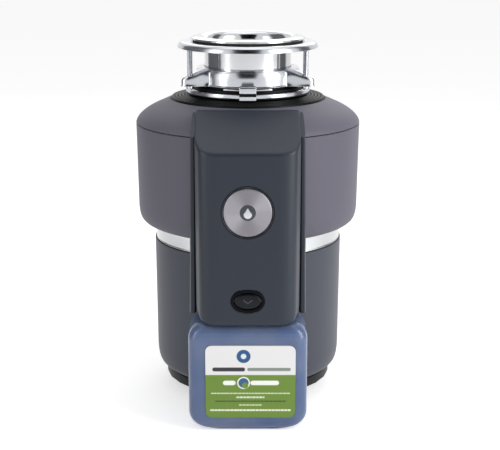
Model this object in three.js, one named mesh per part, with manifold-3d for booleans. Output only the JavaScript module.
// Kitchen garbage disposal: a continuous-feed food waste grinder that hangs from the sink drain,
// with a cleaner cartridge in a dispenser on its front.
// Millimetres, +Z up. The origin is the centre of the sink flange, in the plane where its lip
// seats on the sink. The front, with the dispenser, faces -Y, and the drain outlet faces +Y.
import * as THREE from "three";
import { mergeVertices } from "three/addons/utils/BufferGeometryUtils.js";
import Module from "manifold-3d";

const wasm = await Module();
wasm.setup();

// ---------------------------------------------------------------- driving dimensions
const GAP = 0.3; // clearance between pieces that touch or seat on each other
const LARGE = 26; // facets round the outer shells
const MEDIUM = 20; // facets round the sink mount, the grinder and the motor
const SMALL = 14; // facets round a small turned piece

// Sink mount
const lipRadius = 57.15;
const lipCrown = 3.5;
const lipEdge = 1.6;
const drainRadius = 41.7;
const drainWall = 1.5;
const drainLength = 33;
const fiberThickness = 1.2;
const backupRadius = 70.6;
const backupThickness = 1.8;
const backupRim = 4.3;
const backupRimWall = 1.2;
const lipFillet = 1.8;
const snapWire = 1.6;
const snapLift = 2.2; // height of the snap ring above the end of the drain tube
const ringPlate = 1.6;
const skirtRadius = 52;
const skirtHeight = 15.7;
const rampReach = 6;
const rampThickness = 1.8;
const rampSpan = 50; // degrees
const earWidth = 16;
const earHeight = 10;
const screwCircle = 65.5;
const screwRadius = 2.9;
const screwAngles = [90, 210, 330];
const lugAngles = [270, 30, 150];
const lockRingRadius = 62.2;
const lockRingHeight = 6;
const lockRingWall = 6.2;
const lugWidth = 17;
const lugHeight = 15;
const lugReach = 67;
const baffleMouth = 13;
const baffleSlots = 6;

// Outer shells
const drumRadius = 113.6;
const seamDepth = 82.7; // depth of the seam between the dome and the drum below the sink
const domeTopRadius = 78.2;
const domeRise = 24; // the dome's height over the seam
const shellWall = 2;
const seamGroove = 0.6;
const drumHeight = 102.5;
const drumTaper = 1.4;
const drumCorner = 14.5;
const bandRadius = 95;
const bandHeight = 15;
const bandWall = 2;
const motorRadius = 96.1;
const motorHeight = 136.5;
const motorTaper = 1;
const motorCorner = 14;
const baseRadius = 85;
const baseHeight = 9.3;
const baseWall = 3;
const linerThickness = 8;
const collarHeight = 6.8;
const collarRidges = 4;

// Grinding section
const neckRadius = 50.2;
const neckWall = 4;
const chamberRadius = 81; // bore of the container and of the discharge chamber
const chamberWall = 3;
const chamberFlange = 4; // how far the joint flanges stand out
const flangeThickness = 3;
const containerDepth = 75; // from the top of the neck to the joint
const dischargeHeight = 58.7;
const shredderHeight = 21.4;
const shredderWall = 3.1;
const shredderTeeth = 12;
const turntableClearance = 2.1;
const turntableThickness = 4;
const lugPinCircle = 52;
const lugPinRadius = 4;
const impellerReach = 22.5;
const impellerHeight = 10.7;
const outletBore = 16;
const outletWall = 3.5;
const outletReach = drumRadius + 8.4;
const outletPlate = 5;
const inletRadius = 11;
const inletWall = 2.8;
const inletReach = drumRadius + 22.4;
const inletAngle = 125;
const inletDepth = 105;

// Motor
const shaftRadius = 8;
const bearingWall = 4.7;
const statorRadius = 72;
const statorBore = 38.5;
const statorHeight = 50.8;
const statorSlots = 12;
const airGap = 0.6;
const windingHeight = 15;
const windingRoom = 18.7; // between the stator and the lower end frame
const lowerFrameThickness = 6;
const wiringRoom = 27.8; // between the motor shell's foot and the lower end frame
const boltCircle = 80;
const boltRadius = 2.6;
const boltAngles = [30, 150, 270];

// Cleaner dispenser
const coverHalfWidth = 48.9;
const noseHalfWidth = coverHalfWidth - 5.9;
const noseCorner = 9;
const coverWall = 2.2;
const frameFront = drumRadius + 5.4;
const frameBack = drumRadius - 41.6;
const frameTopHalfWidth = coverHalfWidth + 3.4;
const frameSeamHalfWidth = coverHalfWidth + 4.7;
const frameBottomHalfWidth = coverHalfWidth + 6.9;
const frameWall = 2.4;
const frameBottom = 244;
const facetStart = drumRadius - 29.6;
const facetStartDepth = 59.6;
const foldReach = drumRadius + 31.4;
const foldDepth = 89.8;
const footReach = foldReach + 4.5;
const footDepth = 253;
// How far back the cover's side walls reach: 2.1 short of the frame's wall along the drum.
const frameWallRadius = drumRadius + 2 * GAP + frameWall;
const skirtBack = Math.sqrt(frameWallRadius ** 2 - coverHalfWidth ** 2) + 2.1;
const badgeAlong = 54.3; // distance down the front face from the fold
const badgeRadius = 22.4;
const badgeThickness = 1.5;
const badgeRimWidth = 1.3;
const buttonAlong = 138.2;
const bezelWidth = 32.2;
const bezelHeight = 22.4;
const bezelRim = 3.2;
const bottleHalfWidth = 56.4;
const bottleTop = 249;
const bottleHeight = 110;
const bottleFront = footReach - 2.5;
const bottleBack = drumRadius - 23.6;
const bottleWall = 1.6;
const shoulderRadius = 13;
const heelRadius = 20;
const bottleEdge = 12;
const bottleRidge = 12;
const labelWidth = 85;
const labelHeight = 72;
const labelTop = 271.9;
const labelThickness = 0.3;
const neckY = -(drumRadius + 4.9);
const bottleNeckRadius = 12;
const capRadius = 15.5;
const capHeight = 20;
const spoutRadius = 5;
const spoutHeight = 9;
const tubeRadius = 3;
const tubeWall = 1.2;

// ---------------------------------------------------------------- levels that follow from them
const backupTop = -(GAP + fiberThickness + GAP);
const backupUnder = backupTop - backupThickness;
const snapBottom = -(drainLength - snapLift);
const ringBottom = snapBottom + snapWire + GAP;
const ringTop = ringBottom + ringPlate;
const skirtBottom = ringTop - skirtHeight;
const rampTop = skirtBottom - 0.5;
const rampBottom = rampTop - rampThickness;
const rampRadius = skirtRadius + rampReach;
const hookBottom = rampTop + GAP;
const gasketTop = -drainLength - GAP;
const gasketStep = rampBottom - GAP;
const gasketRadius = lockRingRadius - lockRingWall - 0.8;
const lockRingTop = rampBottom - 2.7;
const lockRingBottom = lockRingTop - lockRingHeight;
const collarTop = lockRingBottom - GAP;
const collarBottom = collarTop - collarHeight;
const domeSeat = collarBottom - GAP;
const neckTop = gasketStep - 4.4;
const jointDepth = neckTop - containerDepth;
const dischargeTop = jointDepth - GAP;
const dischargeBottom = dischargeTop - dischargeHeight;
const ledge = dischargeTop - shredderHeight - 2 * GAP;
const turntableBottom = ledge + 1.6;
const turntableTop = turntableBottom + turntableThickness;
const turntableRadius = chamberRadius - GAP - shredderWall - turntableClearance;
const impellerBottom = turntableTop + GAP;
const impellerTop = impellerBottom + impellerHeight;
const seamZ = -seamDepth;
const drumTop = seamZ - seamGroove / 2;
const drumBottom = drumTop - drumHeight;
const bandTop = drumBottom - 0.5;
const bandBottom = bandTop - bandHeight;
const motorTop = bandBottom - GAP;
const motorBottom = motorTop - motorHeight;
const baseTop = motorBottom - GAP;
const baseBottom = baseTop - baseHeight;
const endFrameTop = dischargeBottom - GAP;
const endFrameBottom = endFrameTop - 9.7;
const bossTop = endFrameTop + 24.3;
const lowerFrameBottom = motorBottom + wiringRoom;
const lowerFrameTop = lowerFrameBottom + lowerFrameThickness;
const statorBottom = lowerFrameTop + windingRoom;
const statorTop = statorBottom + statorHeight;
const outletZ = ledge - 1 - outletBore;
const shaftTop = turntableBottom - 2.8;
const bearingRadius = shaftRadius + GAP + bearingWall;
const hubBottom = turntableBottom - 8;
const lean = Math.atan2(footReach - foldReach, footDepth - foldDepth);
const facetSlope = (foldDepth - facetStartDepth) / (foldReach - facetStart);

// ---------------------------------------------------------------- shape tools
const radians = THREE.MathUtils.degToRad;

// A closed geometry as a manifold-3d solid.
function solid(geometry) {
  const bare = geometry.index ? geometry.toNonIndexed() : geometry.clone();
  bare.deleteAttribute("normal");
  bare.deleteAttribute("uv");
  const merged = mergeVertices(bare, 1e-4);
  return new wasm.Manifold(
    new wasm.Mesh({
      numProp: 3,
      vertProperties: merged.attributes.position.array,
      triVerts: new Uint32Array(merged.index.array),
    }),
  );
}

function geometryOf(body) {
  const mesh = body.getMesh();
  const geometry = new THREE.BufferGeometry();
  geometry.setAttribute("position", new THREE.BufferAttribute(mesh.vertProperties, mesh.numProp));
  geometry.setIndex(new THREE.BufferAttribute(mesh.triVerts, 1));
  geometry.computeVertexNormals();
  return geometry;
}

function arc(centreX, centreY, radius, startDegrees, endDegrees, steps) {
  return Array.from({ length: steps + 1 }, (_, i) => {
    const angle = radians(startDegrees + ((endDegrees - startDegrees) * i) / steps);
    return [centreX + radius * Math.cos(angle), centreY + radius * Math.sin(angle)];
  });
}

// Twice the signed area of an outline: positive when it runs anticlockwise.
const vectors = (points) => points.map(([x, y]) => new THREE.Vector2(x, y));

function turnsLeft(points) {
  return points.reduce((sum, [x, y], i) => {
    const [nextX, nextY] = points[(i + 1) % points.length];
    return sum + x * nextY - nextX * y;
  }, 0);
}

// A ring or disc turned about Z from its (radius, z) outline. A ring's outline closes on itself,
// and a disc's starts and ends on the axis.
function turned(outline, segments = LARGE) {
  const points = turnsLeft(outline) < 0 ? [...outline].reverse() : [...outline];
  if (!outline.some(([r]) => r === 0)) points.push(points[0]);
  const onAxis = points.findIndex(([r], i) => r === 0 && points[(i + 1) % points.length][0] > 0);
  const ordered = onAxis > 0 ? [...points.slice(onAxis), ...points.slice(0, onAxis)] : points;
  const profile = ordered.map(([r, z]) => new THREE.Vector2(r, z));
  return new THREE.LatheGeometry(profile, segments).rotateX(Math.PI / 2);
}

const ring = (inner, outer, bottom, top, segments) =>
  turned([[inner, bottom], [outer, bottom], [outer, top], [inner, top]], segments);
const disc = (radius, bottom, top, segments) =>
  turned([[0, bottom], [radius, bottom], [radius, top], [0, top]], segments);

// The line that lies a distance to the outside of a profile that runs downwards.
function offset(profile, distance) {
  return profile.map(([r, z], i) => {
    const [r0, z0] = profile[Math.max(i - 1, 0)];
    const [r1, z1] = profile[Math.min(i + 1, profile.length - 1)];
    const before = new THREE.Vector2(z0 - z, r - r0).normalize();
    const after = new THREE.Vector2(z - z1, r1 - r).normalize();
    if (i === 0) before.copy(after);
    if (i === profile.length - 1) after.copy(before);
    const normal = before.add(after).normalize();
    const mitre = distance / Math.max(normal.dot(after), 0.5);
    return [r + normal.x * mitre, z + normal.y * mitre];
  });
}

// A sheet of even wall whose outside is the profile.
const shell = (profile, wall) => [...profile, ...offset(profile, -wall).reverse()];

const outlineShape = (points) => new THREE.Shape(points.map(([x, y]) => new THREE.Vector2(x, y)));
const alongZ = (points, low, high) =>
  new THREE.ExtrudeGeometry(outlineShape(points), { depth: high - low, bevelEnabled: false })
    .translate(0, 0, low);
const alongY = (points, low, high) =>
  new THREE.ExtrudeGeometry(outlineShape(points), { depth: high - low, bevelEnabled: false })
    .rotateX(Math.PI / 2)
    .translate(0, high, 0);
const alongX = (points, low, high) =>
  new THREE.ExtrudeGeometry(outlineShape(points), { depth: high - low, bevelEnabled: false })
    .rotateX(Math.PI / 2)
    .rotateZ(Math.PI / 2)
    .translate(low, 0, 0);
const block = (low, high) =>
  new THREE.BoxGeometry(high[0] - low[0], high[1] - low[1], high[2] - low[2]).translate(
    (low[0] + high[0]) / 2,
    (low[1] + high[1]) / 2,
    (low[2] + high[2]) / 2,
  );

function roundedBox(x0, y0, x1, y1, radii, steps = 3) {
  const [lowLeft, lowRight, topRight, topLeft] = radii;
  return [
    ...arc(x0 + lowLeft, y0 + lowLeft, lowLeft, 180, 270, steps),
    ...arc(x1 - lowRight, y0 + lowRight, lowRight, 270, 360, steps),
    ...arc(x1 - topRight, y1 - topRight, topRight, 0, 90, steps),
    ...arc(x0 + topLeft, y1 - topLeft, topLeft, 90, 180, steps),
  ];
}

// A stadium-like oval in the x and z directions.
function oval(width, height, steps = 18) {
  return Array.from({ length: steps }, (_, i) => {
    const angle = (2 * Math.PI * i) / steps;
    const x = Math.sign(Math.cos(angle)) * Math.abs(Math.cos(angle)) ** 0.8;
    const z = Math.sign(Math.sin(angle)) * Math.abs(Math.sin(angle)) ** 0.8;
    return [(width / 2) * x, (height / 2) * z];
  });
}

// A geometry modelled along +X and turned to an angle about Z.
const atAngle = (geometry, degrees) => geometry.clone().rotateZ(radians(degrees));
// A round bar or drill along +X, between two distances from the axis of the machine.
const radialBar = (radius, near, far, z, segments = SMALL) =>
  disc(radius, near, far, segments).rotateY(Math.PI / 2).translate(0, 0, z);

const union = (parts) => parts.reduce((all, part) => all.add(part));
const cut = (body, tools) => tools.reduce((left, tool) => left.subtract(tool), body);

// ---------------------------------------------------------------- the assembly
const disposal = new THREE.Group();
const finish = (color, roughness, metalness) => ({ color, roughness, metalness });
const steel = finish(0xc9cbcc, 0.22, 1);
const zinc = finish(0xa9acb0, 0.4, 1);
const castAluminium = finish(0x9a9c9e, 0.55, 1);
const laminated = finish(0x6d7074, 0.5, 1);
const copper = finish(0xa5532e, 0.45, 1);
const rubber = finish(0x1b1c1e, 0.8, 0);
const fiber = finish(0x3a3633, 0.9, 0);
const paint = finish(0x6f6e78, 0.4, 0.3);
const blackPlastic = finish(0x14181d, 0.5, 0);
const slatePlastic = finish(0x39414d, 0.35, 0);
const paleFoam = finish(0x8d8c88, 0.95, 0);
const whitePlastic = finish(0xe2e2df, 0.4, 0);
const bluePlastic = finish(0x7d9cc0, 0.15, 0);
const redPlastic = finish(0xa3201c, 0.4, 0);

function piece(group, name, body, look) {
  const geometry = body.isBufferGeometry ? body : geometryOf(body);
  const mesh = new THREE.Mesh(geometry, new THREE.MeshStandardMaterial(look));
  mesh.name = name;
  group.add(mesh);
  return mesh;
}

function subassembly(parent = disposal) {
  const group = new THREE.Group();
  parent.add(group);
  return group;
}

// ---------------------------------------------------------------- outer profiles
const domeSide = [
  [domeTopRadius, seamZ + domeRise],
  ...new THREE.QuadraticBezierCurve(
    new THREE.Vector2(drumRadius - 17.9, seamZ + 16.5),
    new THREE.Vector2(drumRadius - 2.1, seamZ + 8.9),
    new THREE.Vector2(drumRadius, seamZ + seamGroove / 2),
  ).getPoints(4).map((p) => [p.x, p.y]),
];
const drumSide = [
  [drumRadius, drumTop],
  ...arc(drumRadius - drumTaper - drumCorner, drumBottom + drumCorner, drumCorner, 0, -90, 3),
];
const motorSide = [
  [motorRadius, motorTop],
  ...arc(motorRadius - motorTaper - motorCorner, motorBottom + motorCorner, motorCorner, 0, -80, 3),
];

// Everything inside the shells' outer surface, grown by a clearance.
function bodyEnvelope(clearance) {
  const outside = offset(
    [...domeSide, ...drumSide, [motorRadius, drumBottom], ...motorSide.slice(1)],
    clearance,
  );
  const low = outside.at(-1)[1];
  return solid(turned([[0, low], ...outside.reverse(), [0, outside[0][1]]]));
}

// ---------------------------------------------------------------- sink mount
function sinkFlange() {
  const tube = drainRadius + drainWall;
  const groove = 0.6;
  return turned([
    [drainRadius, -drainLength],
    [tube, -drainLength],
    [tube, snapBottom - GAP],
    [tube - groove, snapBottom - GAP],
    [tube - groove, snapBottom + snapWire + GAP],
    [tube, snapBottom + snapWire + GAP],
    [tube, -1.5],
    [tube + lipFillet, 0],
    [lipRadius, 0],
    [lipRadius, lipEdge],
    [lipRadius - 4, lipCrown - 0.5],
    [lipRadius - 8, lipCrown],
    [tube + 1, lipCrown - 0.9],
    [drainRadius, -2],
  ], MEDIUM);
}

function backupFlange() {
  const inner = drainRadius + drainWall + 0.8;
  const rimInner = backupRadius - backupRimWall;
  return turned([
    [inner, backupUnder],
    [rimInner, backupUnder],
    [rimInner, backupUnder - backupRim],
    [backupRadius, backupUnder - backupRim],
    [backupRadius, backupTop - 1],
    [backupRadius - 1, backupTop],
    [inner, backupTop],
  ], MEDIUM);
}

// A spring steel ring, split so that it can be opened over the drain tube.
function snapRing() {
  const inner = drainRadius + drainWall - 0.3;
  const outer = inner + 2.2;
  const split = 6;
  const outline = [
    ...arc(0, 0, outer, 90 + split, 450 - split, 28),
    ...arc(0, 0, inner, 450 - split, 90 + split, 28),
  ];
  return alongZ(outline, snapBottom, snapBottom + snapWire);
}

// A stamped ring with three ears for the screws and three ramps for the lock ring's hooks.
function mountingRing() {
  const inner = drainRadius + drainWall + 0.5;
  const wall = 1.8;
  const hat = solid(
    turned([
      [inner, ringBottom],
      [skirtRadius - wall - 4, ringBottom],
      [skirtRadius - wall, ringBottom - 4],
      [skirtRadius - wall, skirtBottom],
      [skirtRadius, skirtBottom],
      [skirtRadius, ringTop - 5],
      [skirtRadius - 5, ringTop],
      [inner, ringTop],
    ], MEDIUM),
  );
  const earTop = skirtBottom + earHeight;
  const ear = [
    [skirtRadius - 1, -earWidth / 2 - 3],
    ...arc(screwCircle - 2, 0, earWidth / 2 - 2, -90, 90, 5),
    [skirtRadius - 1, earWidth / 2 + 3],
  ];
  const boss = disc(screwRadius + 2, earTop - 1, earTop + 2.5, SMALL).translate(screwCircle, 0, 0);
  const hole = disc(screwRadius + GAP, skirtBottom - 2, earTop + 5, SMALL)
    .translate(screwCircle, 0, 0);
  const ears = screwAngles.flatMap((a) => [
    solid(atAngle(alongZ(ear, skirtBottom, earTop), a)),
    solid(atAngle(boss, a)),
  ]);
  const half = rampSpan / 2;
  const ramp = (a) => {
    const outline = [
      ...arc(0, 0, rampRadius, a - half, a + half, 4),
      ...arc(0, 0, skirtRadius - wall, a + half, a - half, 4),
    ];
    return solid(alongZ(outline, rampBottom, skirtBottom + 0.5));
  };
  const rampRelief = solid(
    ring(skirtRadius + 0.01, rampRadius + 1, rampTop, skirtBottom + 1, MEDIUM),
  );
  const ramps = cut(union(lugAngles.map(ramp)), [rampRelief]);
  return cut(union([hat, ramps, ...ears]), screwAngles.map((a) => solid(atAngle(hole, a))));
}

function mountScrew() {
  const tip = backupUnder - GAP;
  const head = skirtBottom - 3;
  const shank = solid(disc(screwRadius, head, tip, SMALL));
  const slot = solid(block([-5, -0.5, head - 1], [5, 0.5, head + 1.6]));
  return shank.subtract(slot);
}

// The ring that turns to lock: a channel with three lugs whose hooks pass over the ramps.
function lockRing() {
  const channel = solid(
    ring(lockRingRadius - lockRingWall, lockRingRadius, lockRingBottom, lockRingTop, MEDIUM),
  );
  const half = lugWidth / 2;
  const lugTop = lockRingBottom + lugHeight;
  const wallInner = rampRadius + 0.8;
  const upright = block([wallInner, -half, lockRingBottom], [lugReach, half, lugTop]);
  const hook = block([rampRadius - 4, -half, hookBottom], [wallInner + 1, half, hookBottom + 2]);
  const grip = block([lugReach - 2.4, -half + 4, lockRingBottom + 4], [lugReach + 1, half - 4, lugTop - 4]);
  return union([
    channel,
    ...lugAngles.map((a) =>
      solid(atAngle(upright, a)).add(solid(atAngle(hook, a))).subtract(solid(atAngle(grip, a))),
    ),
  ]);
}

// A rubber collar over the neck, with a splash baffle of soft leaves inside it.
function mountingGasket() {
  const bore = drainRadius + 2.8;
  const collar = solid(
    turned([
      [neckRadius + GAP, collarBottom + 2.1],
      [gasketRadius, collarBottom + 2.1],
      [gasketRadius, gasketStep],
      [skirtRadius - 1.8 - GAP, gasketStep],
      [skirtRadius - 1.8 - GAP, gasketTop],
      [bore, gasketTop],
      [bore, neckTop + GAP],
      [neckRadius + GAP, neckTop + GAP],
    ], MEDIUM),
  );
  const root = gasketStep;
  const leaves = solid(
    turned([
      [baffleMouth, root - 6],
      [bore + 1.5, root],
      [bore + 1.5, root + 2],
      [baffleMouth, root - 4],
    ], MEDIUM),
  );
  const slit = block([baffleMouth - 2, -0.8, root - 10], [bore - 8, 0.8, root + 5]);
  const slits = Array.from({ length: baffleSlots }, (_, i) =>
    solid(atAngle(slit, (360 / baffleSlots) * (i + 0.5))),
  );
  return collar.add(cut(leaves, slits));
}

function buildSinkMount() {
  const mount = subassembly();
  piece(mount, "sink_flange", sinkFlange(), steel);
  const sleeve = drainRadius + drainWall + lipFillet + GAP;
  piece(mount, "fiber_gasket", ring(sleeve, lipRadius - 2, backupTop + GAP, -GAP, MEDIUM), fiber);
  piece(mount, "backup_flange", backupFlange(), zinc);
  piece(mount, "snap_ring", snapRing(), steel);
  piece(mount, "mounting_ring", mountingRing(), zinc);
  screwAngles.forEach((angle, i) => {
    const screw = piece(mount, `mount_screw_${i + 1}`, mountScrew(), zinc);
    screw.position.set(
      screwCircle * Math.cos(radians(angle)),
      screwCircle * Math.sin(radians(angle)),
      0,
    );
  });
  piece(mount, "lower_mounting_ring", lockRing(), zinc);
  piece(mount, "mounting_gasket", mountingGasket(), rubber);
}

// ---------------------------------------------------------------- drills shared by the shells
const outletDrill = (radius, far = 200) =>
  solid(atAngle(radialBar(radius, 40, far, outletZ, 16), 90));
const inletDrill = (radius, near = 60) =>
  solid(atAngle(radialBar(radius, near, 200, -inletDepth), inletAngle));
const tubePort = -(seamDepth + 12);
const feedDrill = (near = 60) =>
  solid(atAngle(radialBar(tubeRadius + 0.5, near, drumRadius + 16.4, tubePort), 270));

// ---------------------------------------------------------------- outer shells
// Moulded rubber with concentric ridges, round the neck and in the dome's recess.
function isolationCollar() {
  const inner = gasketRadius + 0.6;
  const edge = domeTopRadius - GAP;
  const start = lockRingRadius;
  const pitch = (edge - start) / collarRidges;
  const slope = (collarTop - (seamZ + domeRise)) / (edge - start);
  const crest = (r) => collarTop - slope * (r - start);
  const ridges = Array.from({ length: collarRidges }, (_, i) => {
    const r = start + pitch * i;
    return [
      [r + pitch * 0.2, crest(r)],
      [r + pitch * 0.75, crest(r + pitch * 0.75)],
      [r + pitch * 0.95, crest(r + pitch) - 0.9],
    ];
  }).flat();
  return turned([[inner, collarBottom], [edge, collarBottom], ...ridges.reverse(), [inner, collarTop]]);
}

function upperDome() {
  const recess = [
    [gasketRadius + 3, domeSeat],
    [domeTopRadius, domeSeat],
  ];
  return turned([
    ...recess,
    ...domeSide,
    [drumRadius - shellWall, seamZ + seamGroove / 2],
    ...offset(domeSide, -shellWall).slice(1, -1).reverse(),
    [domeTopRadius + shellWall, domeSeat - shellWall],
    [gasketRadius + 3, domeSeat - shellWall],
  ]);
}

function upperDrum() {
  const floor = [bandRadius - bandWall / 2, drumBottom];
  const body = solid(turned(shell([...drumSide, floor], shellWall)));
  return cut(body, [outletDrill(outletBore + outletWall + 1), inletDrill(inletRadius + 1), feedDrill()]);
}

// Sound-absorbing foam against the inside of the drum.
function insulationLiner() {
  const outside = drumRadius - drumTaper - shellWall - GAP;
  const body = solid(
    ring(outside - linerThickness, outside, drumBottom + drumCorner, drumTop - 4),
  );
  return cut(body, [outletDrill(outletBore + outletWall + 1), inletDrill(inletRadius + 1), feedDrill()]);
}

function lowerShell() {
  return turned(shell([[bandRadius - bandWall, motorTop], ...motorSide], shellWall - 0.5));
}

const plateSize = [64, 38];
const plateCentre = [0, 34];
const plateThickness = 1.2;
const resetPlace = [48, -26];
const resetRadius = 4;
const groundPlace = [-46, 30];
const groundRadius = 2.4;

// A moulded pan that closes the motor end, with a well for the wiring plate.
function baseCover() {
  const pan = solid(
    turned([
      [0, baseBottom],
      [baseRadius, baseBottom],
      [baseRadius, baseTop],
      [baseRadius - baseWall, baseTop],
      [baseRadius - baseWall, baseBottom + baseWall],
      [0, baseBottom + baseWall],
    ]),
  );
  const [w, d] = plateSize;
  const [x, y] = plateCentre;
  const well = block(
    [x - w / 2 - GAP, y - d / 2 - GAP, baseBottom - 1],
    [x + w / 2 + GAP, y + d / 2 + GAP, baseBottom + plateThickness + 2 * GAP],
  );
  const wiring = block([x - 20, y - 10, baseBottom - 1], [x + 20, y + 10, baseBottom + baseWall + 1]);
  const reset = disc(resetRadius + 0.5, baseBottom - 1, baseBottom + baseWall + 1, SMALL)
    .translate(...resetPlace, 0);
  const ground = disc(groundRadius + GAP, baseBottom - 1, baseBottom + baseWall + 1, SMALL)
    .translate(...groundPlace, 0);
  return cut(pan, [well, wiring, reset, ground].map(solid));
}

function wiringPlate() {
  const [w, d] = plateSize;
  const [x, y] = plateCentre;
  const outline = roundedBox(x - w / 2, y - d / 2, x + w / 2, y + d / 2, [3, 3, 3, 3], 2);
  const plate = solid(alongZ(outline, baseBottom + GAP, baseBottom + GAP + plateThickness));
  const cable = disc(8, baseBottom - 1, baseBottom + 3, SMALL).translate(x + w / 2 - 14, y, 0);
  return plate.subtract(solid(cable));
}

function groundScrew() {
  const head = disc(groundRadius * 1.8, baseBottom - 1.8, baseBottom - GAP, SMALL);
  const shank = disc(groundRadius, baseBottom - 1, baseBottom + baseWall + 4, SMALL);
  const slot = block([-6, -0.5, baseBottom - 3], [6, 0.5, baseBottom - 1.1]);
  return cut(solid(head).add(solid(shank)), [solid(slot)]);
}

function buildShells() {
  const shells = subassembly();
  piece(shells, "isolation_collar", isolationCollar(), rubber);
  piece(shells, "upper_dome", upperDome(), paint);
  piece(shells, "upper_drum", upperDrum(), paint);
  piece(shells, "insulation_liner", insulationLiner(), paleFoam);
  piece(shells, "trim_band", ring(bandRadius - bandWall, bandRadius, bandBottom, bandTop), steel);
  piece(shells, "lower_shell", lowerShell(), paint);
  piece(shells, "base_cover", baseCover(), blackPlastic);
  piece(shells, "wiring_plate", wiringPlate(), zinc);
  const ground = piece(shells, "ground_screw", groundScrew(), finish(0x2f7d3a, 0.5, 0.4));
  ground.position.set(...groundPlace, 0);
}

// ---------------------------------------------------------------- grinding section
const jointRadius = chamberRadius + chamberWall + chamberFlange;

function containerBody() {
  const outer = chamberRadius + chamberWall;
  const shoulder = neckTop - 14;
  const body = solid(
    turned([
      [chamberRadius, jointDepth],
      [jointRadius, jointDepth],
      [jointRadius, jointDepth + flangeThickness],
      [outer, jointDepth + flangeThickness],
      [outer, shoulder - 16],
      [neckRadius, shoulder],
      [neckRadius, neckTop],
      [neckRadius - neckWall, neckTop],
      [neckRadius - neckWall, shoulder - 1.5],
      [chamberRadius, shoulder - 18],
    ], MEDIUM),
  );
  return cut(body, [inletDrill(inletRadius - inletWall), feedDrill()]);
}

// A nipple for the dishwasher's hose, welded on the container.
function dishwasherInlet() {
  const nipple = solid(
    atAngle(radialBar(inletRadius, chamberRadius, inletReach, -inletDepth), inletAngle),
  );
  const container = disc(
    chamberRadius + chamberWall + GAP,
    -inletDepth - 2 * inletRadius,
    -inletDepth + 2 * inletRadius,
    MEDIUM,
  );
  return cut(nipple, [inletDrill(inletRadius - inletWall), solid(container)]);
}

function dischargeChamber() {
  const outer = chamberRadius + chamberWall;
  const body = solid(
    turned([
      [chamberRadius - 4, dischargeBottom],
      [jointRadius, dischargeBottom],
      [jointRadius, dischargeBottom + flangeThickness],
      [outer, dischargeBottom + flangeThickness],
      [outer, dischargeTop - flangeThickness],
      [jointRadius, dischargeTop - flangeThickness],
      [jointRadius, dischargeTop],
      [chamberRadius, dischargeTop],
      [chamberRadius, ledge],
      [chamberRadius - 4, ledge],
    ], MEDIUM),
  );
  return cut(body, [outletDrill(outletBore)]);
}

// The outlet pipe, welded on the discharge chamber, with a plate for the elbow's two screws.
function outletPipe() {
  const pipe = solid(
    atAngle(radialBar(outletBore + outletWall, chamberRadius, outletReach - 1, outletZ, 16), 90),
  );
  const plateOutline = roundedBox(-33, outletZ - 24, 33, outletZ + 24, [12, 12, 12, 12], 3);
  const plate = solid(alongY(plateOutline, outletReach - outletPlate, outletReach));
  const screwHole = disc(2.6, outletReach - 20, outletReach + 5, SMALL).rotateX(-Math.PI / 2);
  const screwHoles = [-26, 26].map((x) => solid(screwHole.clone().translate(x, 0, outletZ)));
  const wall = chamberRadius + chamberWall + GAP;
  const lowFlange = dischargeBottom + flangeThickness + GAP;
  const chamber = solid(disc(wall, dischargeBottom - 1, dischargeTop, MEDIUM));
  const flange = solid(disc(jointRadius + GAP, dischargeBottom - 1, lowFlange, MEDIUM));
  return cut(pipe.add(plate), [outletDrill(outletBore), chamber, flange, ...screwHoles]);
}

// A hard steel ring with grinding teeth: notches cut along its inside.
function shredderRing() {
  const outer = chamberRadius - GAP;
  const inner = outer - shredderWall;
  const body = solid(ring(inner, outer, ledge + GAP, dischargeTop - GAP, MEDIUM));
  const notch = block([inner - 3, -3, ledge], [inner + 1.6, 3, turntableTop + 5]);
  const notches = Array.from({ length: shredderTeeth }, (_, i) =>
    solid(atAngle(notch, (360 / shredderTeeth) * (i + 0.5))),
  );
  return cut(body, notches);
}

function turntable() {
  const hub = shaftRadius + 6;
  const plate = solid(
    turned([
      [0, shaftTop + GAP],
      [shaftRadius + GAP, shaftTop + GAP],
      [shaftRadius + GAP, hubBottom],
      [hub, hubBottom],
      [hub, turntableBottom],
      [turntableRadius, turntableBottom],
      [turntableRadius, turntableTop],
      [hub + 3, turntableTop],
      [hub - 2, turntableTop + 3],
      [0, turntableTop + 3],
    ], MEDIUM),
  );
  const pinHole = disc(lugPinRadius + GAP, turntableBottom - 1, turntableTop + 1, SMALL)
    .translate(lugPinCircle, 0, 0);
  const drain = disc(3, turntableBottom - 1, turntableTop + 1, 10)
    .translate(turntableRadius - 12, 0, 0);
  const holes = [0, 180].map((a) => solid(atAngle(pinHole, a)));
  const drains = [45, 135, 225, 315].map((a) => solid(atAngle(drain, a)));
  return cut(plate, [...holes, ...drains]);
}

// A cast lug that swings on its rivet, with the heavy end outwards.
function impeller() {
  const outline = [
    ...arc(0, 0, 9, 100, 260, 6),
    [impellerReach - 5, -8],
    [impellerReach - 1.5, -5],
    [impellerReach - 0.8, 4],
    [impellerReach - 6, 8],
  ];
  const bore = disc(lugPinRadius + GAP, impellerBottom - 1, impellerTop + 1, SMALL);
  return solid(alongZ(outline, impellerBottom, impellerTop)).subtract(solid(bore));
}

function lugRivet() {
  const head = impellerTop + GAP;
  const foot = turntableBottom - GAP;
  return turned(
    [
      [0, foot - 1.8],
      [lugPinRadius + 2, foot - 1.8],
      [lugPinRadius + 2, foot],
      [lugPinRadius, foot],
      [lugPinRadius, head],
      [lugPinRadius + 3, head],
      [lugPinRadius + 1.5, head + 2],
      [0, head + 2],
    ],
    SMALL,
  );
}

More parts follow.
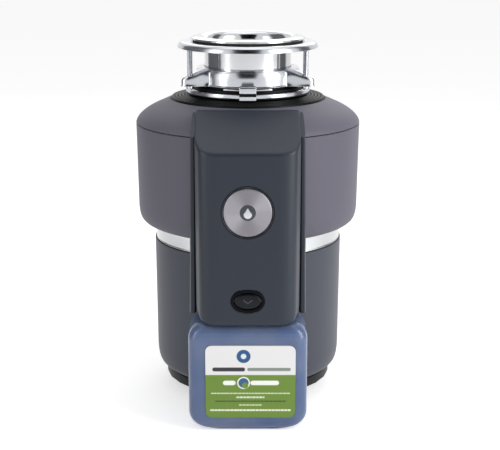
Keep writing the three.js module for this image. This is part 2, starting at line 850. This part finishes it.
function buildGrinder() {
  const grinder = subassembly();
  piece(grinder, "container_body", containerBody(), blackPlastic);
  piece(grinder, "inlet_nipple", dishwasherInlet(), blackPlastic);
  piece(grinder, "discharge_chamber", dischargeChamber(), blackPlastic);
  piece(grinder, "outlet_pipe", outletPipe(), blackPlastic);
  piece(grinder, "shredder_ring", shredderRing(), steel);
  piece(grinder, "turntable", turntable(), steel);
  [0, 180].forEach((angle, i) => {
    const station = subassembly(grinder);
    station.rotation.z = radians(angle);
    const lug = piece(station, `impeller_${i + 1}`, impeller(), steel);
    const rivet = piece(station, `impeller_rivet_${i + 1}`, lugRivet(), steel);
    lug.position.x = lugPinCircle;
    rivet.position.x = lugPinCircle;
  });
}

// ---------------------------------------------------------------- motor
const boltHole = (bottom, top) => (angle) =>
  solid(atAngle(disc(boltRadius + GAP, bottom, top, SMALL).translate(boltCircle, 0, 0), angle));

// A cast frame: floor of the chamber, seat of the upper bearing, and a skirt on the stator.
function upperEndFrame() {
  const boss = bearingRadius + GAP;
  const skirtInner = statorRadius - 4.5;
  const body = solid(
    turned([
      [boss, endFrameBottom - 6],
      [boss + 6.7, endFrameBottom - 6],
      [boss + 10, endFrameBottom + 3.7],
      [skirtInner, endFrameBottom + 3.7],
      [skirtInner, statorTop + GAP],
      [statorRadius, statorTop + GAP],
      [statorRadius, endFrameBottom],
      [bandRadius - bandWall - 1.2, endFrameBottom],
      [bandRadius - bandWall - 1.2, endFrameTop],
      [chamberRadius - 4.5, endFrameTop],
      [chamberRadius - 11, endFrameTop + 5.3],
      [boss + 11, endFrameTop + 10],
      [boss + 6.7, bossTop],
      [boss, bossTop],
    ], MEDIUM),
  );
  return cut(body, boltAngles.map(boltHole(endFrameBottom - 5, endFrameTop + 5)));
}

function lowerEndFrame() {
  const boss = bearingRadius + GAP;
  const skirtInner = statorRadius - 4.5;
  const edge = motorRadius - motorTaper - shellWall - 3;
  const body = solid(
    turned([
      [boss, lowerFrameBottom - 10],
      [boss + 6, lowerFrameBottom - 10],
      [boss + 9, lowerFrameBottom],
      [edge, lowerFrameBottom],
      [edge, lowerFrameTop],
      [statorRadius, lowerFrameTop],
      [statorRadius, statorBottom - GAP],
      [skirtInner, statorBottom - GAP],
      [skirtInner, lowerFrameTop],
      [boss + 6, lowerFrameTop],
      [boss, lowerFrameTop + 4],
    ], MEDIUM),
  );
  return cut(body, boltAngles.map(boltHole(lowerFrameBottom - 5, lowerFrameTop + 5)));
}

// A stack of laminations with open slots round the bore.
function statorCore() {
  const body = solid(ring(statorBore, statorRadius, statorBottom, statorTop, MEDIUM));
  const slot = block([statorBore - 4, -3, statorBottom - 1], [statorBore + 16, 3, statorTop + 1]);
  const slots = Array.from({ length: statorSlots }, (_, i) =>
    solid(atAngle(slot, (360 / statorSlots) * (i + 0.5))),
  );
  return cut(body, slots);
}

function endWinding(near, far) {
  const inner = statorBore + 5;
  const outer = statorRadius - 4.5 - 1.5;
  const round = near + (far - near) * 0.6;
  return turned([
    [inner, near],
    [outer, near],
    [outer, round],
    [outer - 6, far],
    [inner + 6, far],
    [inner, round],
  ], MEDIUM);
}

function rotorShaft() {
  const journal = lowerFrameBottom - 9;
  return turned([
    [0, journal],
    [shaftRadius - 1, journal],
    [shaftRadius, journal + 1],
    [shaftRadius, shaftTop - 1],
    [shaftRadius - 1, shaftTop],
    [0, shaftTop],
  ], SMALL);
}

function throughBolt() {
  const head = lowerFrameBottom - GAP;
  return turned([
    [0, head - 4],
    [boltRadius * 1.8, head - 4],
    [boltRadius * 1.8, head],
    [boltRadius, head],
    [boltRadius, endFrameTop - GAP],
    [0, endFrameTop - GAP],
  ], 8);
}

const floorZ = baseBottom + baseWall + GAP;

function overloadProtector() {
  const [x, y] = resetPlace;
  const outline = roundedBox(x - 11, y - 9, x + 11, y + 9, [2, 2, 2, 2], 1);
  const body = solid(alongZ(outline, floorZ, floorZ + 18));
  const bore = disc(resetRadius + 0.5, floorZ - 1, floorZ + 8, SMALL).translate(x, y, 0);
  return body.subtract(solid(bore));
}

function buildMotor() {
  const motor = subassembly();
  piece(motor, "upper_end_frame", upperEndFrame(), castAluminium);
  piece(motor, "lower_end_frame", lowerEndFrame(), castAluminium);
  const journal = shaftRadius + GAP;
  piece(motor, "shaft_seal", ring(journal, journal + 7.5, bossTop + GAP, hubBottom - GAP, SMALL), rubber);
  const bearing = (bottom, top) => ring(journal, bearingRadius, bottom, top, SMALL);
  piece(motor, "upper_bearing", bearing(endFrameBottom - 5, bossTop - 1), copper);
  piece(motor, "lower_bearing", bearing(lowerFrameBottom - 9, lowerFrameTop + 3), copper);
  piece(motor, "rotor_shaft", rotorShaft(), steel);
  const rotorRadius = statorBore - airGap;
  piece(motor, "rotor_core", ring(journal, rotorRadius, statorBottom, statorTop, MEDIUM), laminated);
  piece(motor, "stator_core", statorCore(), laminated);
  piece(motor, "upper_winding", endWinding(statorTop + GAP, statorTop + windingHeight), copper);
  piece(motor, "lower_winding", endWinding(statorBottom - GAP, statorBottom - windingHeight), copper);
  boltAngles.forEach((angle, i) => {
    const bolt = piece(motor, `through_bolt_${i + 1}`, throughBolt(), zinc);
    bolt.position.set(boltCircle * Math.cos(radians(angle)), boltCircle * Math.sin(radians(angle)), 0);
  });
  piece(motor, "overload_protector", overloadProtector(), blackPlastic);
  const plunger = disc(resetRadius, baseBottom + 0.6, floorZ + 7, SMALL);
  const reset = piece(motor, "reset_button", plunger, redPlastic);
  reset.position.set(...resetPlace, 0);
  const can = disc(10.5, -19, 19, SMALL).rotateX(Math.PI / 2);
  const capacitor = piece(motor, "start_capacitor", can, slatePlastic);
  capacitor.position.set(-46, -24, floorZ + 10.5);
}

// ---------------------------------------------------------------- cleaner dispenser
// The (y, z) line of the sloped top facet, a distance below its surface.
const facetZ = (y, below = 0) => -facetStartDepth + facetSlope * (y + facetStart) - below;

// Places a geometry modelled with its face at y = 0 on the leaning front of the cover.
function onFront(geometry, along) {
  return geometry.translate(0, 0, -along).rotateX(-lean).translate(0, -foldReach, -foldDepth);
}

function housingFrame() {
  const halfWidths = [
    [-frameTopHalfWidth, -facetStartDepth + 5],
    [-frameTopHalfWidth, seamZ + 2],
    [-frameSeamHalfWidth, seamZ - 2],
    [-frameBottomHalfWidth, -frameBottom],
  ];
  const front = [...halfWidths, ...halfWidths.map(([x, z]) => [-x, z]).reverse()];
  const step = 1.5;
  const back = -frameBack;
  const side = [
    [-facetStart, facetZ(-facetStart, step)],
    [-frameFront, facetZ(-frameFront, step)],
    [-frameFront, -frameBottom],
    [back, -frameBottom],
    [back, seamZ - 5],
    [-facetStart, seamZ],
  ];
  const outside = solid(alongY(front, -frameFront, -frameBack))
    .intersect(solid(alongX(side, -80, 80)))
    .subtract(bodyEnvelope(GAP));
  const inner = coverHalfWidth + 2 * GAP;
  const room = solid(block([-inner, -frameFront - 10, -frameBottom - 10], [inner, -40, -40]));
  const overDome = solid(block([-inner, -frameFront - 10, seamZ - 1.3], [inner, -40, -40]));
  return cut(outside, [room.subtract(bodyEnvelope(GAP + frameWall)), overDome, feedDrill()]);
}

// The (x, y) outline of the cover: straight flanks that draw in to a rounded nose.
function coverPlan(inset) {
  const nose = noseHalfWidth - inset;
  const flank = coverHalfWidth - inset;
  const corner = noseCorner - inset / 2;
  const front = -footReach - 1 + inset;
  const back = -60;
  const half = [
    [flank, back],
    [flank, -frameFront],
    [nose + 1.2, front + corner + 2],
    ...arc(nose - corner, front + corner, corner, -10, -90, 4),
  ];
  return [...half, ...half.map(([x, y]) => [-x, y]).reverse()];
}

// The (y, z) outline of the cover, with the nose leaning out towards its foot.
function coverSide() {
  return [
    [-facetStart, facetZ(-facetStart)],
    [-foldReach, -foldDepth],
    [-footReach, -footDepth],
    [-footReach + coverWall + 0.5, -footDepth],
    [-footReach + 5.5, -footDepth + 3.5],
    [-footReach + 13, -frameBottom],
    [-skirtBack, -frameBottom],
    [-skirtBack, seamZ],
    [-facetStart, seamZ + 12],
  ];
}

const latchPivot = { y: -footReach + 6.1, z: 14.5 - footDepth };
const latchPin = 1.5;
const latchHalfWidth = 10;

function housingCover() {
  const outside = solid(alongZ(coverPlan(0), -footDepth - 5, -40))
    .intersect(solid(alongX(coverSide(), -70, 70)));
  const hollowSide = [
    [-50, facetZ(-50, coverWall + 0.3)],
    [-foldReach + coverWall, facetZ(-foldReach + coverWall, coverWall + 0.3)],
    [-footReach + coverWall, -footDepth - 1],
    [-50, -footDepth - 1],
  ];
  const hollow = solid(alongZ(coverPlan(coverWall), -footDepth - 6, -40))
    .intersect(solid(alongX(hollowSide, -70, 70)));
  const badgePocket = onFront(
    disc(badgeRadius + badgeRimWidth + 2 * GAP, -1.4, 10, 24).rotateX(Math.PI / 2),
    badgeAlong,
  );
  const bezelHole = onFront(alongY(oval(bezelWidth + 2 * GAP, bezelHeight + 2 * GAP), -5, 8), buttonAlong);
  const earSide = [
    [-footReach + 1, latchPivot.z - 6],
    [latchPivot.y + 3, latchPivot.z - 6],
    [latchPivot.y + 3, latchPivot.z + 3],
    [-footReach + 1, latchPivot.z + 3],
  ];
  const pinHole = disc(latchPin + GAP, -20, 20, 10)
    .rotateY(Math.PI / 2)
    .translate(0, latchPivot.y, latchPivot.z);
  const ears = [1, -1].map((sign) => {
    const low = latchHalfWidth + GAP;
    const [x0, x1] = sign > 0 ? [low, low + 2.6] : [-low - 2.6, -low];
    return solid(alongX(earSide, x0, x1));
  });
  const shellOnly = cut(outside, [hollow, bodyEnvelope(GAP), solid(badgePocket)]);
  return cut(union([shellOnly, ...ears]), [solid(bezelHole), solid(pinHole)]);
}

const bezelDepth = 2;
const buttonFlange = [29, 10];

function buttonBezel() {
  const outer = solid(alongY(oval(bezelWidth, bezelHeight), -1, bezelDepth));
  const inner = oval(bezelWidth - 2 * bezelRim, bezelHeight - 2 * bezelRim + 2);
  return outer.subtract(solid(alongY(inner, -3, bezelDepth + 2)));
}

function releaseButton() {
  const face = oval(bezelWidth - 2 * bezelRim - 2 * GAP, bezelHeight - 2 * bezelRim + 2 - 2 * GAP);
  const [w, h] = buttonFlange;
  const body = solid(alongY(face, -0.6, bezelDepth + 0.6));
  const flange = solid(block([-w / 2, bezelDepth + GAP, -h / 2], [w / 2, bezelDepth + 2.2, h / 2]));
  return body.add(flange);
}

class Helix extends THREE.Curve {
  constructor(radius, turns, near, far) {
    super();
    Object.assign(this, { radius, turns, near, far });
  }
  getPoint(t, target = new THREE.Vector3()) {
    const angle = 2 * Math.PI * this.turns * t;
    const y = this.near + (this.far - this.near) * t;
    return target.set(this.radius * Math.cos(angle), y, this.radius * Math.sin(angle));
  }
}

const springWire = 0.45;
const springSeat = -footReach + 11.3;

function buttonSpring() {
  const start = bezelDepth + 2.2 + 0.2 + springWire;
  const end = springSeat - GAP - springWire + footReach - 0.7;
  const section = new THREE.Shape(vectors(arc(0, 0, springWire, 0, 270, 3)));
  const path = new Helix(3.2, 3.5, start, end);
  return new THREE.ExtrudeGeometry(section, { extrudePath: path, steps: 28, bevelEnabled: false });
}

// A rocking catch: pressing its upper arm in swings the hook out from under the bottle's collar.
function bottleLatch() {
  const front = -0.8;
  const back = 0.7;
  const side = [
    [front, 6.6],
    [back, 6.6],
    [back, -3.8],
    [neckY - collarReach - GAP - latchPivot.y, -3.8],
    [neckY - collarReach - GAP - latchPivot.y, -6],
    [front, -6],
  ];
  const plate = solid(alongX(side, -latchHalfWidth, latchHalfWidth));
  const pin = solid(disc(latchPin, -latchHalfWidth - 2.4, latchHalfWidth + 2.4, 10).rotateY(Math.PI / 2));
  return plate.add(pin);
}

const collarReach = 18;
const collarZ = latchPivot.z - 3.8 + GAP;
const capBottom = collarZ + 2 + GAP;
const capTop = capBottom + capHeight;
const spoutTop = capTop + spoutHeight;
const socketPlateZ = spoutTop + GAP;

function bottleOutline(inset) {
  const halfWidth = bottleHalfWidth - inset;
  const low = -(bottleTop + bottleHeight) + inset;
  const high = -bottleTop - inset;
  const shoulder = shoulderRadius - inset;
  const heel = heelRadius - inset;
  return alongY(roundedBox(-halfWidth, low, halfWidth, high, [heel, heel, shoulder, shoulder], 4), -200, 0);
}

function bottlePlan(inset) {
  const halfWidth = bottleHalfWidth - inset;
  const edge = bottleEdge - inset;
  const [front, back] = [-bottleFront + inset, -bottleBack - inset];
  const outline = roundedBox(-halfWidth, front, halfWidth, back, [edge, edge, 4, 4], 3);
  return alongZ(outline, -400, -200);
}

function bottleSide(inset) {
  const low = -(bottleTop + bottleHeight) + inset;
  const high = -bottleTop - inset;
  const radii = [8, 8, 8, bottleRidge].map((r) => r - inset);
  const outline = roundedBox(-bottleFront + inset, low, -bottleBack - inset, high, radii, 3);
  return alongX(outline, -100, 100);
}

// A blow-moulded bottle, hollow, with its neck up in the socket of the dispenser.
function cartridgeBottle() {
  const skin = (inset) =>
    [bottleOutline, bottlePlan, bottleSide]
      .map((outline) => solid(outline(inset)))
      .reduce((both, next) => both.intersect(next))
      .subtract(bodyEnvelope(1.2 + inset));
  const neck = disc(bottleNeckRadius, -bottleTop - 6, capTop - 2, 18).translate(0, neckY, 0);
  const collar = disc(collarReach, collarZ, collarZ + 2, 18).translate(0, neckY, 0);
  const mouth = disc(bottleNeckRadius - 2, -bottleTop - 8, capTop + 5, 18).translate(0, neckY, 0);
  return cut(union([skin(0), solid(neck), solid(collar)]), [skin(bottleWall), solid(mouth)]);
}

function bottleCap() {
  return turned(
    [
      [bottleNeckRadius + GAP, capBottom],
      [capRadius, capBottom],
      [capRadius, capTop],
      [spoutRadius, capTop],
      [spoutRadius, spoutTop],
      [3.4, spoutTop],
      [3.4, capTop - 2 + GAP],
      [bottleNeckRadius + GAP, capTop - 2 + GAP],
    ],
    18,
  );
}

const dipTube = () =>
  ring(1.6, 3, -(bottleTop + bottleHeight) + 8, spoutTop - 2, 10);

const shelfThickness = 3;

// The receiver: a shelf across the housing with a cup for the cap and a bore for the spout.
function bottleSocket() {
  const cupInner = capRadius + 0.6;
  const cup = turned(
    [
      [cupInner, capTop - 8],
      [cupInner + 2, capTop - 8],
      [cupInner + 2, socketPlateZ + 1],
      [cupInner, socketPlateZ + 1],
    ],
    18,
  ).translate(0, neckY, 0);
  const shelfDepth = block(
    [-coverHalfWidth, -footReach + 10.5, socketPlateZ],
    [coverHalfWidth, neckY + 14.5, socketPlateZ + shelfThickness],
  );
  const across = alongZ(coverPlan(coverWall + GAP), socketPlateZ, socketPlateZ + shelfThickness);
  const shelf = solid(shelfDepth).intersect(solid(across));
  const bore = disc(3.4, socketPlateZ - 1, socketPlateZ + 4, 12).translate(0, neckY, 0);
  const tongue = block([-5, springSeat, latchPivot.z + 5.5], [5, springSeat + 1.4, socketPlateZ + 1]);
  const web = block([-5, springSeat, capTop - 8], [5, neckY - cupInner - 1, socketPlateZ + 1]);
  return cut(union([shelf, ...[cup, tongue, web].map(solid)]), [solid(bore)]);
}

const pumpBottom = socketPlateZ + shelfThickness + GAP;
const pumpHeight = 42;

// A sealed dosing pump and its timer board, standing on the shelf.
function dosingPump() {
  const outline = roundedBox(-26, neckY - 21.5, 26, neckY - 0.5, [3, 3, 3, 3], 2);
  return alongZ(outline, pumpBottom, pumpBottom + pumpHeight);
}

// The delivery tube: up from the pump, then back through the drum and into the container.
function deliveryTube() {
  const bottom = pumpBottom + pumpHeight + GAP;
  const riseY = neckY - 10.5;
  const bend = 14;
  const path = new THREE.CurvePath();
  const corner = new THREE.Vector3(0, riseY, tubePort);
  const low = new THREE.Vector3(0, riseY, tubePort - bend);
  const turn = new THREE.Vector3(0, riseY + bend, tubePort);
  path.add(new THREE.LineCurve3(new THREE.Vector3(0, riseY, bottom), low));
  path.add(new THREE.QuadraticBezierCurve3(low, corner, turn));
  path.add(new THREE.LineCurve3(turn, new THREE.Vector3(0, -chamberRadius - 0.5, tubePort)));
  const section = new THREE.Shape(vectors(arc(0, 0, tubeRadius, 0, 300, 5)));
  section.holes.push(new THREE.Path(vectors(arc(0, 0, tubeRadius - tubeWall, 300, 0, 5))));
  const steps = Math.round(path.getLength() / 8);
  return new THREE.ExtrudeGeometry(section, { extrudePath: path, steps, bevelEnabled: false });
}

function bottleLabel() {
  const centre = 2.5;
  const back = -bottleFront - GAP;
  const outline = roundedBox(
    centre - labelWidth / 2,
    -labelTop - labelHeight,
    centre + labelWidth / 2,
    -labelTop,
    [6, 6, 6, 6],
    3,
  );
  return alongY(outline, back - labelThickness, back);
}

function buildDispenser() {
  const dispenser = subassembly();
  piece(dispenser, "housing_frame", housingFrame(), paint);
  piece(dispenser, "housing_cover", housingCover(), slatePlastic);
  const face = subassembly(dispenser);
  face.position.set(0, -foldReach, -foldDepth);
  face.rotation.x = -lean;
  const badgeRing = ring(badgeRadius + GAP, badgeRadius + GAP + badgeRimWidth, -1.1, -0.3, 24);
  const badge = disc(badgeRadius, -1.1, -1.1 + badgeThickness, 24);
  piece(face, "badge_ring", badgeRing.rotateX(Math.PI / 2), blackPlastic).position.z = -badgeAlong;
  piece(face, "badge_disc", badge.rotateX(Math.PI / 2), steel).position.z = -badgeAlong;
  piece(face, "button_bezel", buttonBezel(), slatePlastic).position.z = -buttonAlong;
  piece(face, "release_button", releaseButton(), blackPlastic).position.z = -buttonAlong;
  piece(face, "button_spring", buttonSpring(), steel).position.z = -buttonAlong;
  const latch = piece(dispenser, "bottle_latch", bottleLatch(), whitePlastic);
  latch.position.set(0, latchPivot.y, latchPivot.z);
  piece(dispenser, "bottle_socket", bottleSocket(), whitePlastic);
  piece(dispenser, "dosing_pump", dosingPump(), whitePlastic);
  piece(dispenser, "delivery_tube", deliveryTube(), whitePlastic);
  piece(dispenser, "cartridge_bottle", cartridgeBottle(), bluePlastic);
  piece(dispenser, "bottle_cap", bottleCap(), whitePlastic).position.y = neckY;
  piece(dispenser, "dip_tube", dipTube(), whitePlastic).position.y = neckY;
  piece(dispenser, "bottle_label", bottleLabel(), whitePlastic);
}

buildSinkMount();
buildShells();
buildGrinder();
buildMotor();
buildDispenser();

export default disposal;
